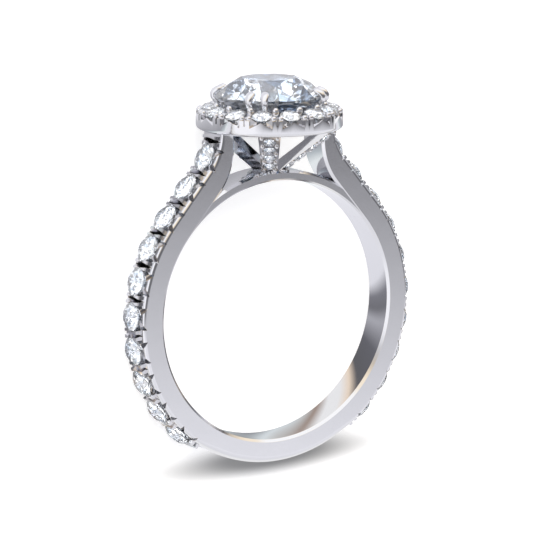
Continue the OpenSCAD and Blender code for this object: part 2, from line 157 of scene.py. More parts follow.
class Ring:
    """The ring upright, in millimetres, with the finger along Y and the head up."""

    first_stone = 0.12
    seat_gap = 0.03
    solder = 0.2
    band_girdle = 0.22
    notch_side = 0.68
    notch_depth = 0.3
    notch_up = 0.1
    notch_length = 0.78
    notch_turn = math.radians(22)
    notch_dive = math.radians(7)
    notch_tooth_angle = math.radians(42)
    notch_prong_angle = math.radians(12)
    cut_past = 0.3
    side_round = 0.24
    back_fade = math.radians(14)
    slot_edge = 0.08
    slot_half_angle = math.radians(13)
    slot_depth = 0.5
    prong_reach = 0.32
    prong_half_length = 0.72
    prong_up = 0.29
    prong_down = 0.15
    table_share = 0.54
    crown_share = 0.155
    girdle_share = 0.03
    pavilion_share = 0.43
    star_share = 0.5
    lower_share = 0.78
    tooth_drop = 0.4
    tooth_sink = 0.03
    tooth_reach = 0.33
    tooth_slant = math.radians(24)
    tooth_half_share = 0.54
    prong_slot = (0.1, 0.6, 0.7)
    bead = 0.19
    bead_side = 0.23
    bead_up = 0.05
    inner_bead = 0.24
    bead_inset = 0.02
    inner_bead_inset = 0.42
    halo_wall = 0.07
    strut_foot_out = 0.9
    strut_bead = 0.12
    strut_bead_inset = 0.2
    strut_bead_up = 0.02
    bridge_tuck = math.radians(1)
    halo_rise = 1.26
    stone_rests_on = 0.4
    strut_foot_sink = 0.05
    strut_head_out = 0.03
    strut_stone_gap = 0.2
    tooth_cut_height = 1.2
    claw_depth_limit = 1.04
    claw_tip_steps = 5

    def __init__(self, scene):
        for group in (scene.halo_ring_band, scene.halo_ring_head):
            for key, prop in group.bl_rna.properties.items():
                if prop.type in {"FLOAT", "INT"}:
                    value = getattr(group, key)
                    setattr(self, key, value / MM if prop.unit == "LENGTH" else value)
        self.bore_r = self.bore / 2
        self.band_r = self.bore_r + self.thickness
        self.bridge_r = self.bore_r + self.bridge_thickness
        self.rim_r = self.halo / 2
        self.stone_r = self.centre_stone / 2
        self.shoulder_in = self.shoulder_out - self.shoulder_thickness
        self.shoulder_top = self.halo_height + self.solder
        self.straight = self.corner_t(self.band_r, self.shoulder_out) - self.turn(self.bend_out)
        self.halo_ring_r = self.rim_r - self.halo_wall - self.halo_stone / 2 * math.cos(self.halo_lean)
        self.halo_girdle = self.halo_height + self.halo_rise
        self.halo_hole_r = self.stone_r - self.stone_rests_on
        self.halo_step = FULL_TURN / self.halo_stones
        self.strut_foot_z = self.bridge_r - self.strut_foot_sink
        self.strut_head = self.rim_r - self.halo_round + self.strut_head_out
        rise, run = self.halo_height - self.strut_foot_z, self.strut_head - self.strut_foot_out
        self.strut_slope = math.atan2(rise, run)
        self.strut_len = math.hypot(rise, run)
        self.strut_pitch = self.strut_stone + self.strut_stone_gap
        self.stand = self.lay_down()
        self.lay = self.stand @ Matrix.Scale(MM, 4)

    def lay_down(self):
        """Lays the ring on its halo's rim and on the rounded back of its band."""
        b, a = self.back_round, self.halo_round
        rise = self.halo_height + a + self.band_r - b
        run = self.rim_r - a - self.width / 2 + b
        lie = math.atan2(run, rise) + math.asin((a - b) / math.hypot(rise, run))
        drop = (self.width / 2 - b) * math.cos(lie) + (self.band_r - b) * math.sin(lie) + b
        table = self.girdle + self.centre_stone * (self.girdle_share / 2 + self.crown_share)
        head = table * math.cos(lie) + self.stone_r * self.table_share * math.sin(lie)
        back = (self.band_r - b) * math.cos(lie) + (self.width / 2 - b) * math.sin(lie) + b
        return (Matrix.Translation(Vector((0, (back - head) / 2, drop)) * MM)
                @ Matrix.Rotation(lie - RIGHT_ANGLE, 4, "X"))

    # A shoulder's face leaves a circle of radius r, runs straight, then bends upright at distance x.
    def along(self, r, t):
        a = self.split_angle
        return Vector((math.sin(a) * r - math.cos(a) * t, math.cos(a) * r + math.sin(a) * t))

    def turn(self, bend):
        return bend * math.tan((RIGHT_ANGLE - self.split_angle) / 2)

    def corner_t(self, r, x):
        return (math.sin(self.split_angle) * r - x) / math.cos(self.split_angle)

    def bend_centre(self, r, x, bend):
        return self.along(r, self.corner_t(r, x)) + Vector((bend, self.turn(bend)))

    def half_outline(self, r, x, bend):
        """Points from the bottom of the ring up one face of the bar to the top of a shoulder."""
        sweep = math.pi - self.split_angle
        turns = [math.pi - sweep * i / ROUND_STEPS for i in range(ROUND_STEPS)]
        points = [Vector((math.sin(a), math.cos(a))) * r for a in turns]
        straight = self.corner_t(r, x) - self.turn(bend)
        points += [self.along(r, straight * i / STRAIGHT_STEPS) for i in range(STRAIGHT_STEPS + 1)]
        centre = self.bend_centre(r, x, bend)
        for i in range(1, BEND_STEPS + 1):
            a = self.split_angle + (RIGHT_ANGLE - self.split_angle) * i / BEND_STEPS
            points.append(centre - Vector((math.sin(a), math.cos(a))) * bend)
        return points + [Vector((x, self.shoulder_top))]

    def band_outlines(self):
        """Outer and inner half outlines of the C-shaped bar."""
        outer = self.half_outline(self.band_r, self.shoulder_out, self.bend_out)
        inner = self.half_outline(self.bore_r, self.shoulder_in - self.bore_bevel,
                                  self.bend_in + self.bore_bevel)
        return outer, inner

    def on_band(self, t):
        """Frame at distance t up the outer face: X runs down the band and Z looks out of it."""
        a = self.split_angle
        if t < 0:
            a -= t / self.band_r
            at = Vector((math.sin(a), math.cos(a))) * self.band_r
        elif t < self.straight:
            at = self.along(self.band_r, t)
        else:
            a += (t - self.straight) / self.bend_out
            centre = self.bend_centre(self.band_r, self.shoulder_out, self.bend_out)
            at = centre - Vector((math.sin(a), math.cos(a))) * self.bend_out
        return Matrix.Translation((at.x, 0, at.y)) @ Matrix.Rotation(a, 4, "Y")

    def stone_ts(self):
        n = self.shoulder_stones
        head = [self.first_stone + (n - i) * self.shoulder_pitch for i in range(n)]
        return head + [self.first_stone - i * self.pitch for i in range(self.round_stones)]

    def slot_ts(self):
        ts = self.stone_ts()
        middle = [(a + b) / 2 for a, b in zip(ts, ts[1:])]
        return [ts[0] + self.shoulder_pitch / 2] + middle + [ts[-1] - self.pitch / 2]

    def halo_face(self, r):
        return self.halo_girdle + self.seat_gap + (self.halo_ring_r - r) * math.tan(self.halo_lean)

    def on_halo(self, i):
        turn = Matrix.Rotation((i + 0.5) * self.halo_step, 4, "Z")
        out = Matrix.Translation((0, -self.halo_ring_r, self.halo_girdle))
        return turn @ out @ Matrix.Rotation(self.halo_lean, 4, "X")

    def strut_turns(self):
        a = self.strut_angle
        return [Matrix.Rotation(t, 4, "Z") for t in (a, -a, math.pi - a, math.pi + a)]

    def on_strut(self, u):
        """Frame at distance u up a strut's outer face, looking out of it."""
        at = (0, -self.strut_foot_out - u * math.cos(self.strut_slope),
              self.strut_foot_z + u * math.sin(self.strut_slope))
        return Matrix.Translation(at) @ Matrix.Rotation(math.pi - self.strut_slope, 4, "X")

    def strut_us(self):
        half = (self.strut_stones - 1) / 2
        return [self.strut_len / 2 + (i - half) * self.strut_pitch for i in range(self.strut_stones)]

    def strut_width(self, r):
        share = (r - self.strut_foot_out) / (self.strut_head - self.strut_foot_out)
        return self.strut_foot + (self.strut_top - self.strut_foot) * share


MIRROR = Matrix.Diagonal((-1, 1, 1, 1))


def both_sides(places):
    return list(places) + [MIRROR @ place for place in places]


# ---- shapes in bmesh ----


def place_new(bm, old, matrix):
    """Moves what was made since old was taken, with its faces looking out."""
    verts = [v for v in bm.verts if v not in old]
    faces = list(dict.fromkeys(f for v in verts for f in v.link_faces))
    bmesh.ops.recalc_face_normals(bm, faces=faces)
    bmesh.ops.transform(bm, matrix=matrix, verts=verts)
    if matrix.determinant() < 0:
        bmesh.ops.reverse_faces(bm, faces=faces)


def turned(bm, profile, steps, matrix=Matrix.Identity(4), closed=False):
    """Turns a profile of (distance from Z, height) points round Z."""
    old = set(bm.verts)
    verts = [bm.verts.new((r, 0, z)) for r, z in profile]
    pairs = list(zip(verts, verts[1:])) + ([(verts[-1], verts[0])] if closed else [])
    edges = [bm.edges.new(pair) for pair in pairs]
    bmesh.ops.spin(bm, geom=verts + edges, axis=(0, 0, 1), cent=(0, 0, 0), steps=steps,
                   angle=FULL_TURN, use_merge=True)
    bmesh.ops.remove_doubles(bm, verts=[v for v in bm.verts if v not in old], dist=1e-5)
    place_new(bm, old, matrix)


def arc_bar(bm, profile, start, sweep, steps):
    """A bar of the profile's (radius, distance along Y) points, bent round Y."""
    old = set(bm.verts)
    verts = [bm.verts.new((r * math.sin(start), y, r * math.cos(start))) for r, y in profile]
    face = bm.faces.new(verts)
    bmesh.ops.spin(bm, geom=[face], axis=(0, 1, 0), cent=(0, 0, 0), steps=steps, angle=sweep)
    place_new(bm, old, Matrix.Identity(4))


def prism(bm, points, vector, matrix=Matrix.Identity(4)):
    """Pulls a flat outline out along vector."""
    old = set(bm.verts)
    face = bm.faces.new([bm.verts.new(p) for p in points])
    made = bmesh.ops.extrude_face_region(bm, geom=[face])["geom"]
    moved = [g for g in made if isinstance(g, bmesh.types.BMVert)]
    bmesh.ops.translate(bm, vec=vector, verts=moved)
    place_new(bm, old, matrix)


def block(bm, size, matrix):
    """A box that stands on the origin of its frame."""
    old = set(bm.verts)
    fit = Matrix.Translation((0, 0, size[2] / 2)) @ Matrix.Diagonal((*size, 1))
    bmesh.ops.create_cube(bm, size=1, matrix=fit)
    place_new(bm, old, matrix)


def dome(bm, radius, matrix):
    """A round bead."""
    old = set(bm.verts)
    bmesh.ops.create_uvsphere(bm, u_segments=16, v_segments=10, radius=radius)
    place_new(bm, old, matrix)


def wire(bm, stations, segments, matrix):
    """A round wire through stations of (place, direction, half width, half depth)."""
    old = set(bm.verts)
    loops = []
    for place, way, wide, deep in stations:
        fit = (Matrix.Translation(place) @ Matrix.Rotation(math.atan2(-way.y, way.z), 4, "X")
               @ Matrix.Diagonal((wide, deep, 1, 1)))
        made = bmesh.ops.create_circle(bm, cap_ends=False, segments=segments, radius=1, matrix=fit)
        loops.append(list(dict.fromkeys(e for v in made["verts"] for e in v.link_edges)))
    for low, high in zip(loops, loops[1:]):
        bmesh.ops.bridge_loops(bm, edges=low + high)
    for end in (loops[0], loops[-1]):
        bmesh.ops.holes_fill(bm, edges=end, sides=0)
    place_new(bm, old, matrix)


def temp_object(name, bm):
    mesh = bpy.data.meshes.new(name)
    bm.to_mesh(mesh)
    bm.free()
    obj = bpy.data.objects.new(name, mesh)
    bpy.context.scene.collection.objects.link(obj)
    return obj


def apply_boolean(obj, bm, operation, own_overlaps=False):
    """Cuts or joins obj with the closed shapes in bm, which is used up.

    own_overlaps is for an obj whose own parts run into each other.
    """
    tool = temp_object("tool", bm)
    modifier = obj.modifiers.new("shape", "BOOLEAN")
    modifier.operation = operation
    modifier.solver = "EXACT"
    modifier.use_self = own_overlaps
    modifier.object = tool
    graph = bpy.context.evaluated_depsgraph_get()
    mesh = bpy.data.meshes.new_from_object(obj.evaluated_get(graph))
    obj.modifiers.clear()
    old, obj.data = obj.data, mesh
    bpy.data.meshes.remove(old)
    bpy.data.meshes.remove(tool.data)
    if not mesh.polygons:
        raise RuntimeError(f"{obj.name} lost its shape in a boolean {operation}")


def finish_piece(obj, ring, materials, node, smooth_under=28):
    """Lays the upright piece down in the row frame and hands it to the frame."""
    bm = bmesh.new()
    bm.from_mesh(obj.data)
    bmesh.ops.remove_doubles(bm, verts=bm.verts[:], dist=2e-4)
    bmesh.ops.dissolve_degenerate(bm, edges=bm.edges[:], dist=1e-4)
    bm.to_mesh(obj.data)
    bm.free()
    obj.data.transform(ring.lay)
    obj.data.shade_smooth()
    obj.data.set_sharp_from_angle(angle=math.radians(smooth_under))
    flatten = obj.modifiers.new("flat sides stay flat", "WEIGHTED_NORMAL")
    flatten.weight = 100
    flatten.keep_sharp = True
    for material in materials:
        obj.data.materials.append(material)
    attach(obj, "root")
    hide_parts(node)
    return obj


# ---- materials ----


def add_node(tree, kind, inputs=(), **settings):
    """Adds a node, sets its options, and fills its inputs with values or other nodes' outputs."""
    node = tree.nodes.new(kind)
    for key, value in settings.items():
        setattr(node, key, value)
    for key, value in dict(inputs).items():
        if isinstance(value, bpy.types.NodeSocket):
            tree.links.new(value, node.inputs[key])
        else:
            node.inputs[key].default_value = value
    return node


def mixed(tree, share, first, second, blend_type="MIX"):
    """The first colour, with that share of the second laid over it."""
    return add_node(tree, "ShaderNodeMix", {0: share, 6: first, 7: second},
                    data_type="RGBA", blend_type=blend_type).outputs[2]


def new_group(name, inputs, outputs):
    tree = bpy.data.node_groups.new(name, "ShaderNodeTree")
    for label, default in inputs:
        socket = tree.interface.new_socket(label, in_out="INPUT", socket_type="NodeSocketFloat")
        socket.default_value = default
    for label, kind in outputs:
        tree.interface.new_socket(label, in_out="OUTPUT", socket_type=kind)
    return tree, tree.nodes.new("NodeGroupInput").outputs, tree.nodes.new("NodeGroupOutput").inputs


def polish_group():
    """Unevenness of hand polish: a slight ripple, and faint changes in gloss and tone."""
    name = "Hand polish"
    if name in bpy.data.node_groups:
        return bpy.data.node_groups[name]
    tree, given, out = new_group(
        name,
        [("Ripple", 0.1), ("Gloss", 0.16)],
        [("Normal", "NodeSocketVector"), ("Roughness", "NodeSocketFloat"), ("Tone", "NodeSocketFloat")],
    )
    place = add_node(tree, "ShaderNodeTexCoord").outputs["Object"]
    swell = add_node(tree, "ShaderNodeTexNoise", {"Vector": place, "Scale": 420.0, "Detail": 2.0})
    grain = add_node(tree, "ShaderNodeTexNoise", {"Vector": place, "Scale": 6000.0, "Detail": 3.0})
    mix = add_node(tree, "ShaderNodeMath", {0: grain.outputs[0], 1: 0.1, 2: swell.outputs[0]},
                   operation="MULTIPLY_ADD")
    bump = add_node(tree, "ShaderNodeBump",
                    {"Height": mix.outputs[0], "Strength": given["Ripple"], "Distance": 2e-5})
    tree.links.new(bump.outputs[0], out["Normal"])
    spread = add_node(tree, "ShaderNodeMapRange", {0: grain.outputs[0], 1: 0.3, 2: 0.7, 3: 0.8, 4: 1.2})
    rough = add_node(tree, "ShaderNodeMath", {0: spread.outputs[0], 1: given["Gloss"]},
                     operation="MULTIPLY")
    tree.links.new(rough.outputs[0], out["Roughness"])
    tree.links.new(swell.outputs[0], out["Tone"])
    return tree


def painted_edge_tint_group():
    """Mask of sharp edges that get a painted warm reflection: where the surface turns within a few
    hundredths of a millimetre.
    """
    name = "Worn edges"
    if name in bpy.data.node_groups:
        return bpy.data.node_groups[name]
    tree, given, out = new_group(name, [("Radius", 6e-5)], [("Mask", "NodeSocketFloat")])
    place = add_node(tree, "ShaderNodeTexCoord").outputs["Object"]
    soft = add_node(tree, "ShaderNodeBevel", {"Radius": given["Radius"]}, samples=4)
    flat = add_node(tree, "ShaderNodeNewGeometry").outputs["Normal"]
    match = add_node(tree, "ShaderNodeVectorMath", {0: soft.outputs[0], 1: flat},
                     operation="DOT_PRODUCT").outputs["Value"]
    edge = add_node(tree, "ShaderNodeMapRange", {0: match, 1: 0.995, 2: 0.9, 3: 0.0, 4: 1.0})
    patch = add_node(tree, "ShaderNodeTexNoise", {"Vector": place, "Scale": 300.0, "Detail": 1.0})
    where = add_node(tree, "ShaderNodeMapRange", {0: patch.outputs[0], 1: 0.42, 2: 0.6, 3: 0.15, 4: 1.0})
    both = add_node(tree, "ShaderNodeMath", {0: edge.outputs[0], 1: where.outputs[0]},
                    operation="MULTIPLY")
    tree.links.new(both.outputs[0], out["Mask"])
    return tree


def new_material(name):
    material = bpy.data.materials.new(name)
    material.use_nodes = True
    tree = material.node_tree
    return material, tree, tree.nodes["Principled BSDF"]


def white_gold(name, finish, gloss, ripple):
    if name in bpy.data.materials:
        return bpy.data.materials[name]
    material, tree, shader = new_material(name)
    polish = add_node(tree, "ShaderNodeGroup", node_tree=polish_group())
    polish.inputs["Ripple"].default_value = ripple
    polish.inputs["Gloss"].default_value = gloss
    # Painted warm reflection along sharp edges, laid over the metal's tone.
    painted_edge_tint = add_node(tree, "ShaderNodeGroup", node_tree=painted_edge_tint_group())
    dim = [c * 0.965 for c in finish.gold[:3]] + [1]
    tone = mixed(tree, polish.outputs["Tone"], dim, finish.gold[:])
    warm = mixed(tree, painted_edge_tint.outputs["Mask"], tone, finish.warm[:])
    tree.links.new(warm, shader.inputs["Base Color"])
    tree.links.new(polish.outputs["Roughness"], shader.inputs["Roughness"])
    tree.links.new(polish.outputs["Normal"], shader.inputs["Normal"])
    shader.inputs["Metallic"].default_value = 1.0
    return material


def band_gold(finish):
    return white_gold("white_gold_band", finish, gloss=0.1, ripple=0.12)


def head_gold(finish):
    """The head is polished a little brighter than the band."""
    return white_gold("white_gold_head", finish, gloss=0.08, ripple=0.1)


def painted_facet_group():
    """Painted shade and reflection of each facet, and of the slivers of other facets that show through
    it.
    """
    name = "Facet play"
    if name in bpy.data.node_groups:
        return bpy.data.node_groups[name]
    tree, given, out = new_group(name, [("Sliver Scale", 900.0), ("Depth", 1.0)],
                                 [("Shade", "NodeSocketColor")])
    place = add_node(tree, "ShaderNodeTexCoord").outputs["Object"]
    plane = add_node(tree, "ShaderNodeNewGeometry").outputs["True Normal"]
    offset = add_node(tree, "ShaderNodeVectorMath", {0: plane, 1: (1.0073, 1.0073, 1.0073)},
                      operation="ADD")
    step = add_node(tree, "ShaderNodeVectorMath", {0: offset.outputs[0], 1: (0.03, 0.03, 0.03)},
                    operation="SNAP")
    facet = add_node(tree, "ShaderNodeTexWhiteNoise", {0: step.outputs[0]}, noise_dimensions="3D")
    sliver = add_node(tree, "ShaderNodeTexVoronoi", {"Vector": place, "Scale": given["Sliver Scale"]})
    pick = add_node(tree, "ShaderNodeSeparateColor", {0: sliver.outputs["Color"]})
    shades = []
    # Painted shade: each facet and each sliver takes one of four tones, from dark to white.
    for value in (facet.outputs["Value"], pick.outputs[0]):
        ramp = add_node(tree, "ShaderNodeValToRGB", {0: value})
        set_ramp(ramp, ((0.0, (0.07, 0.1, 0.15, 1)), (0.08, (0.3, 0.38, 0.5, 1)),
                        (0.18, (0.66, 0.74, 0.84, 1)), (0.36, (1.0, 1.0, 1.0, 1))), "CONSTANT")
        shades.append(ramp.outputs[0])
    both = mixed(tree, 0.75, *shades, blend_type="MULTIPLY")
    tree.links.new(mixed(tree, given["Depth"], WHITE, both), out["Shade"])
    return tree


def diamond(name, finish, sliver=900.0, depth=1.0):
    """Bright stone whose facets are cut flat and each take their own painted shade and reflection."""
    if name in bpy.data.materials:
        return bpy.data.materials[name]
    material, tree, shader = new_material(name)
    play = add_node(tree, "ShaderNodeGroup", node_tree=painted_facet_group())
    play.inputs["Sliver Scale"].default_value = sliver
    play.inputs["Depth"].default_value = depth
    # The stone's colour darkened by the painted facet shade.
    tone = mixed(tree, 1.0, finish.stone[:], play.outputs["Shade"], blend_type="MULTIPLY")
    tree.links.new(tone, shader.inputs["Base Color"])
    shader.inputs["Transmission Weight"].default_value = 0.85
    shader.inputs["IOR"].default_value = 2.4
    shader.inputs["Roughness"].default_value = 0.0
    return material


def floor_material(finish):
    """Pale floor that glows evenly to the camera, with a painted contact shadow; reflected rays see
    painted bands of light and shade, and rays through stones see painted glints.
    """
    material, tree, shader = new_material("floor")
    place = add_node(tree, "ShaderNodeTexCoord").outputs["Object"]
    grain = add_node(tree, "ShaderNodeTexNoise", {"Vector": place, "Scale": 60.0, "Detail": 3.0})
    dim = [c * 0.985 for c in finish.floor[:3]] + [1]
    tone = mixed(tree, grain.outputs[0], dim, finish.floor[:])
    # Painted reflection: bands of light and shade by distance up the ring, a little wavy.
    sway = add_node(tree, "ShaderNodeTexNoise", {"Vector": place, "Scale": 190.0, "Detail": 1.0})
    along = add_node(tree, "ShaderNodeSeparateXYZ", {0: place}).outputs["Y"]
    bent = add_node(tree, "ShaderNodeMath", {0: sway.outputs[0], 1: 2 * PAINTED_REFLECTION_SWAY * MM, 2: along},
                    operation="MULTIPLY_ADD")
    low, high = ((y + PAINTED_REFLECTION_SWAY) * MM for y in PAINTED_REFLECTION_SPAN)
    level = add_node(tree, "ShaderNodeMapRange", {0: bent.outputs[0], 1: low, 2: high, 3: 0.0, 4: 1.0})
    painted_bands = add_node(tree, "ShaderNodeValToRGB", {0: level.outputs[0]})
    span = PAINTED_REFLECTION_SPAN[1] - PAINTED_REFLECTION_SPAN[0]
    set_ramp(painted_bands, [((y - PAINTED_REFLECTION_SPAN[0]) / span, (*shade, 1)) for y, shade in PAINTED_REFLECTION], "LINEAR")
    glints = add_node(tree, "ShaderNodeGroup", node_tree=painted_glint_group())
    spread = add_node(tree, "ShaderNodeVectorMath", {0: place, 3: 60.0}, operation="SCALE")
    tree.links.new(spread.outputs[0], glints.inputs["Place"])
    # Painted contact shadow: an ellipse that darkens the floor near the band's back.
    spot = add_node(tree, "ShaderNodeMapping", {"Vector": place}, vector_type="TEXTURE")
    spot.inputs["Location"].default_value = Vector(PAINTED_SHADOW_AT) * MM
    spot.inputs["Scale"].default_value = Vector(PAINTED_SHADOW_REACH) * MM
    near = add_node(tree, "ShaderNodeTexGradient", {0: spot.outputs[0]}, gradient_type="SPHERICAL")
    painted_shadow = add_node(tree, "ShaderNodeMapRange", {0: near.outputs[1], 1: 0.0, 2: 0.75, 3: 0.0, 4: 1.0},
                       interpolation_type="SMOOTHSTEP")
    path = add_node(tree, "ShaderNodeLightPath")
    base = mixed(tree, painted_shadow.outputs[0], tone, (0.3, 0.3, 0.3, 1))
    glow = mixed(tree, painted_shadow.outputs[0], (0.55, 0.55, 0.55, 1), (0.08, 0.08, 0.08, 1))
    lit = path.outputs["Is Camera Ray"]
    # Reflected rays meet the painted bands instead of the floor, and rays through stones meet the
    # painted glints.
    for ray, light in (("Is Glossy Ray", painted_bands.outputs[0]),
                       ("Is Transmission Ray", glints.outputs["Light"])):
        base = mixed(tree, path.outputs[ray], base, BLACK)
        glow = mixed(tree, path.outputs[ray], glow, light)
        lit = add_node(tree, "ShaderNodeMath", {0: lit, 1: path.outputs[ray]},
                       operation="MAXIMUM").outputs[0]
    tree.links.new(base, shader.inputs["Base Color"])
    tree.links.new(glow, shader.inputs["Emission Color"])
    tree.links.new(lit, shader.inputs["Emission Strength"])
    shader.inputs["Roughness"].default_value = 0.9
    shader.inputs["Specular IOR Level"].default_value = 0.0
    return material


def painted_glint_group():
    """Painted glints: patches of white, blue-grey and dark, bright as the lamps and screens of a studio,
    for facets to pick up.
    """
    name = "Studio glints"
    if name in bpy.data.node_groups:
        return bpy.data.node_groups[name]
    tree = bpy.data.node_groups.new(name, "ShaderNodeTree")
    tree.interface.new_socket("Place", in_out="INPUT", socket_type="NodeSocketVector")
    tree.interface.new_socket("Light", in_out="OUTPUT", socket_type="NodeSocketColor")
    given, out = tree.nodes.new("NodeGroupInput").outputs, tree.nodes.new("NodeGroupOutput").inputs
    cells = add_node(tree, "ShaderNodeTexVoronoi", {"Vector": given["Place"], "Scale": 4.0})
    pick = add_node(tree, "ShaderNodeSeparateColor", {0: cells.outputs["Color"]})
    ramp = add_node(tree, "ShaderNodeValToRGB", {0: pick.outputs[0]})
    set_ramp(ramp, ((0.0, (0.02, 0.03, 0.05, 1)), (0.12, (0.22, 0.29, 0.38, 1)),
                    (0.24, (0.62, 0.7, 0.8, 1)), (0.38, (1.0, 1.0, 1.0, 1))), "CONSTANT")
    bright = add_node(tree, "ShaderNodeVectorMath", {0: ramp.outputs[0], 3: 3.0}, operation="SCALE")
    tree.links.new(bright.outputs[0], out["Light"])
    return tree


def set_ramp(node, stops, interpolation):
    ramp = node.color_ramp
    ramp.interpolation = interpolation
    while len(ramp.elements) < len(stops):
        ramp.elements.new(1.0)
    for element, (position, value) in zip(ramp.elements, stops):
        element.position = position
        element.color = value


# ---- pieces ----


def make_band(ring, material):
    """Band with its shoulders, its stones' seats, and the notches and slots beside them."""
    bm = bmesh.new()
    half = ring.width / 2
    outer, inner = ring.band_outlines()
    flip = [[Vector((-p.x, p.y)) for p in points[1:]] for points in (outer, inner)]
    loop = outer + inner[::-1] + flip[1] + flip[0][::-1]
    prism(bm, [(p.x, -half, p.y) for p in loop], (0, ring.width, 0))
    bevel_along(bm, inner, ring.bore_bevel, 1)
    bevel_along(bm, outer, ring.side_round, 6)
    widen_back(ring, bm)
    obj = temp_object("band", bm)
    slots = both_sides([ring.on_band(t) for t in ring.slot_ts()])
    stones = both_sides([ring.on_band(t) for t in ring.stone_ts()])
    bm = bmesh.new()
    size = (2 * ring.prong_reach, 2 * ring.prong_half_length, ring.prong_up + ring.prong_down)
    for place in slots:
        block(bm, size, place @ Matrix.Translation((0, 0, -ring.prong_down)))
    apply_boolean(obj, bm, "UNION")
    bm = bmesh.new()
    up = Matrix.Translation((0, 0, ring.band_girdle))
    for place in stones:
        turned(bm, seat_profile(ring, ring.stone), 48, place @ up)
    apply_boolean(obj, bm, "DIFFERENCE")
    apply_boolean(obj, slot_wheels(ring, slots), "DIFFERENCE")
    for along in (-1, 1):
        apply_boolean(obj, notch_bars(ring, stones, along), "DIFFERENCE")
    return finish_piece(obj, ring, [material], "mounting")


def bevel_along(bm, outline, size, segments):
    """Bevels the edges that run along an outline, on both sides of the bar."""
    on_it = {(round(abs(p.x), 3), round(p.y, 3)) for p in outline}
    edges = [e for e in bm.edges if abs(e.verts[0].co.y - e.verts[1].co.y) < 1e-6
             and all((round(abs(v.co.x), 3), round(v.co.z, 3)) in on_it for v in e.verts)]
    bmesh.ops.bevel(bm, geom=edges, offset=size, offset_type="OFFSET", segments=segments,
                    profile=0.5, affect="EDGES", clamp_overlap=False, material=-1)


def widen_back(ring, bm):
    """Lets the rounding of the outer edges grow smoothly to the back's own size."""
    small, big, half = ring.side_round, ring.back_round, ring.width / 2
    fade = ring.back_fade
    for v in bm.verts:
        r = math.hypot(v.co.x, v.co.z)
        up, along = (r - ring.band_r + small) / small, (abs(v.co.y) - half + small) / small
        off_back = math.pi - abs(math.atan2(v.co.x, v.co.z))
        share = min(max((ring.back_half_angle + fade / 2 - off_back) / fade, 0), 1)
        if v.co.z > 0 or share == 0 or min(up, along) < -1e-3:
            continue
        size = small + (big - small) * share * share * (3 - 2 * share)
        new_r = ring.band_r - size + max(up, 0) * size
        v.co.x, v.co.z = v.co.x * new_r / r, v.co.z * new_r / r
        v.co.y = math.copysign(half - size + max(along, 0) * size, v.co.y)


def seat_profile(ring, diameter):
    r = diameter / 2 + ring.seat_gap
    edge = diameter * ring.girdle_share / 2 + ring.seat_gap
    return [(0, -edge - r * 2 * ring.pavilion_share), (r, -edge), (r, diameter / 2), (0, diameter / 2)]


def slot_wheels(ring, places):
    """Thin wheels with a sharp edge, which cut the spear-shaped slots between stones."""
    bm = bmesh.new()
    half = ring.width / 2 - ring.slot_edge
    wheel_r = (half * half + ring.slot_depth ** 2) / (2 * ring.slot_depth)
    thick = wheel_r * math.tan(ring.slot_half_angle)
    stand = Matrix.Translation((0, 0, wheel_r - ring.slot_depth)) @ Matrix.Rotation(RIGHT_ANGLE, 4, "Y")
    for place in places:
        turned(bm, [(0, -thick), (wheel_r, 0), (0, thick)], 96, place @ stand)
    return bm


def notch_bars(ring, places, along):
    """V-shaped cuts from the band's sides in towards a stone, on its upper or its lower half."""
    bm = bmesh.new()
    rise, past = ring.notch_depth + ring.notch_up, ring.cut_past
    tooth, prong = (rise * math.tan(a) for a in (ring.notch_tooth_angle, ring.notch_prong_angle))
    for place in places:
        for across in (-1, 1):
            start = Matrix.Translation((along * ring.notch_side, across * ring.width / 2,
                                        -ring.notch_depth))
            turn = math.atan2(-across * math.cos(ring.notch_turn), -along * math.sin(ring.notch_turn))
            dive = Matrix.Rotation(turn, 4, "Z") @ Matrix.Rotation(RIGHT_ANGLE + ring.notch_dive, 4, "Y")
            way = -along * across
            prism(bm, [(0, 0, -past), (-rise, way * tooth, -past), (-rise, -way * prong, -past)],
                  (0, 0, ring.notch_length + past), place @ start @ dive)
    return bm


def make_bridge(ring, material):
    """Inner ring between the shoulders, narrower than the band and bevelled on all its edges."""
    bm = bmesh.new()
    side = ring.width / 2 - ring.bridge_inset
    cut_in = ring.bore_bevel - ring.bridge_inset
    profile = [(ring.bore_r, side - cut_in), (ring.bore_r + cut_in, side),
               (ring.bridge_r - ring.bridge_bevel, side), (ring.bridge_r, side - ring.bridge_bevel)]
    profile += [(r, -y) for r, y in reversed(profile)]
    reach = ring.split_angle + ring.bridge_tuck
    arc_bar(bm, profile, -reach, 2 * reach, 90)
    obj = temp_object("bridge", bm)
    return finish_piece(obj, ring, [material], "mounting")


